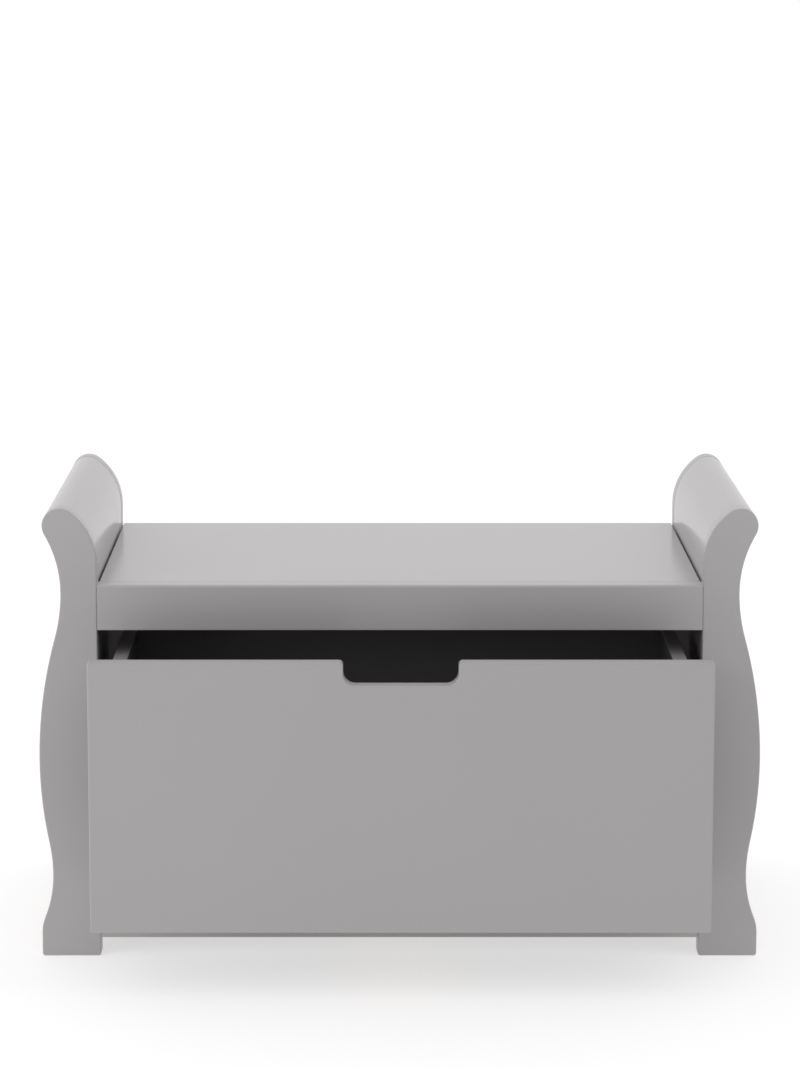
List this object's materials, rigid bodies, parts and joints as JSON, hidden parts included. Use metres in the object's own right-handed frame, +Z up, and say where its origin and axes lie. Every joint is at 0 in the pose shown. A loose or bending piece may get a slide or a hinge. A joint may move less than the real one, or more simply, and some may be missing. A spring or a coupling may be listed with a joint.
{
  "type": "toy box bench",
  "caption": "Bench toy box with scroll-topped S-shaped ends, a flat seat and a deep pull-out drawer with a hand notch.",
  "frame": {"origin": "on the floor, midway across the box and midway between the open drawer's face and the back of the case", "axes": "+Z up, +X to the right across the width, -Y to the front, where the drawer opens"},
  "size_m": [0.9, 0.554, 0.573],
  "materials": {
    "case_lacquer": "satin grey lacquer on board",
    "end_lacquer": "satin grey lacquer on bent board",
    "seat_lacquer": "satin grey lacquer on board",
    "drawer_front_lacquer": "satin grey lacquer on board",
    "drawer_box_lacquer": "matt grey lacquer on board",
    "liner_lacquer": "matt grey lacquer on thin board",
    "drawer_bottom_board": "matt grey hardboard",
    "softwood": "planed pine",
    "beech_dowel": "plain beech",
    "slide_steel": "zinc plated",
    "ball_cage_steel": "oiled steel",
    "cam_zinc": "die cast zinc",
    "screw_zinc": "zinc plated"
  },
  "bodies": {
    "case": {"front_post_left": "case_lacquer", "back_post_left": "case_lacquer", "scroll_panel_left": "end_lacquer", "side_liner_left": "liner_lacquer", "scroll_rod_left": "softwood", "seat_batten_left": "softwood", "runner_batten_left": "softwood", "end_bottom_rail_left": "softwood", "seat_cleat_left": "softwood", "runner_packer_left": "softwood", "slide_outer_left": "slide_steel", "front_post_right": "case_lacquer", "back_post_right": "case_lacquer", "scroll_panel_right": "end_lacquer", "side_liner_right": "liner_lacquer", "scroll_rod_right": "softwood", "seat_batten_right": "softwood", "runner_batten_right": "softwood", "end_bottom_rail_right": "softwood", "seat_cleat_right": "softwood", "runner_packer_right": "softwood", "slide_outer_right": "slide_steel", "front_apron": "case_lacquer", "front_bottom_rail": "case_lacquer", "back_top_rail": "case_lacquer", "back_bottom_rail": "case_lacquer", "back_panel": "case_lacquer", "seat_panel": "seat_lacquer", "seat_cleat_front": "softwood", "seat_cleat_back": "softwood", "rail_dowels": "beech_dowel", "rail_cam_bolts": "screw_zinc", "rail_cam_nuts": "cam_zinc", "cleat_screws": "screw_zinc", "seat_screws": "screw_zinc", "slide_screws": "screw_zinc"},
    "drawer": {"drawer_front": "drawer_front_lacquer", "drawer_side_left": "drawer_box_lacquer", "drawer_side_right": "drawer_box_lacquer", "drawer_back": "drawer_box_lacquer", "drawer_bottom": "drawer_bottom_board", "drawer_bottom_batten": "softwood", "slide_inner_left": "slide_steel", "slide_inner_right": "slide_steel", "drawer_dowels": "beech_dowel", "drawer_cam_bolts": "screw_zinc", "drawer_cam_nuts": "cam_zinc", "drawer_back_screws": "screw_zinc", "drawer_slide_screws": "screw_zinc"},
    "slide_middle_left": {"slide_middle_left": "slide_steel"},
    "ball_cage_outer_left": {"ball_cage_outer_left": "ball_cage_steel"},
    "ball_cage_inner_left": {"ball_cage_inner_left": "ball_cage_steel"},
    "slide_middle_right": {"slide_middle_right": "slide_steel"},
    "ball_cage_outer_right": {"ball_cage_outer_right": "ball_cage_steel"},
    "ball_cage_inner_right": {"ball_cage_inner_right": "ball_cage_steel"}
  },
  "joints": [
    {"name": "drawer_slide", "type": "slide", "parent": "case", "child": "drawer", "axis": [0, -1, 0], "range_m": [-0.154, 0.146]},
    {"name": "slide_middle_left_slide", "type": "slide", "parent": "case", "child": "slide_middle_left", "axis": [0, -1, 0], "range_m": [-0.077, 0.073]},
    {"name": "ball_cage_outer_left_slide", "type": "slide", "parent": "case", "child": "ball_cage_outer_left", "axis": [0, -1, 0], "range_m": [-0.0385, 0.0365]},
    {"name": "ball_cage_inner_left_slide", "type": "slide", "parent": "case", "child": "ball_cage_inner_left", "axis": [0, -1, 0], "range_m": [-0.1155, 0.1095]},
    {"name": "slide_middle_right_slide", "type": "slide", "parent": "case", "child": "slide_middle_right", "axis": [0, -1, 0], "range_m": [-0.077, 0.073]},
    {"name": "ball_cage_outer_right_slide", "type": "slide", "parent": "case", "child": "ball_cage_outer_right", "axis": [0, -1, 0], "range_m": [-0.0385, 0.0365]},
    {"name": "ball_cage_inner_right_slide", "type": "slide", "parent": "case", "child": "ball_cage_inner_right", "axis": [0, -1, 0], "range_m": [-0.1155, 0.1095]}
  ],
  "couplings": [
    {"joint": "slide_middle_left_slide", "follows": "drawer_slide", "ratio": 0.5},
    {"joint": "ball_cage_outer_left_slide", "follows": "drawer_slide", "ratio": 0.25},
    {"joint": "ball_cage_inner_left_slide", "follows": "drawer_slide", "ratio": 0.75},
    {"joint": "slide_middle_right_slide", "follows": "drawer_slide", "ratio": 0.5},
    {"joint": "ball_cage_outer_right_slide", "follows": "drawer_slide", "ratio": 0.25},
    {"joint": "ball_cage_inner_right_slide", "follows": "drawer_slide", "ratio": 0.75}
  ]
}
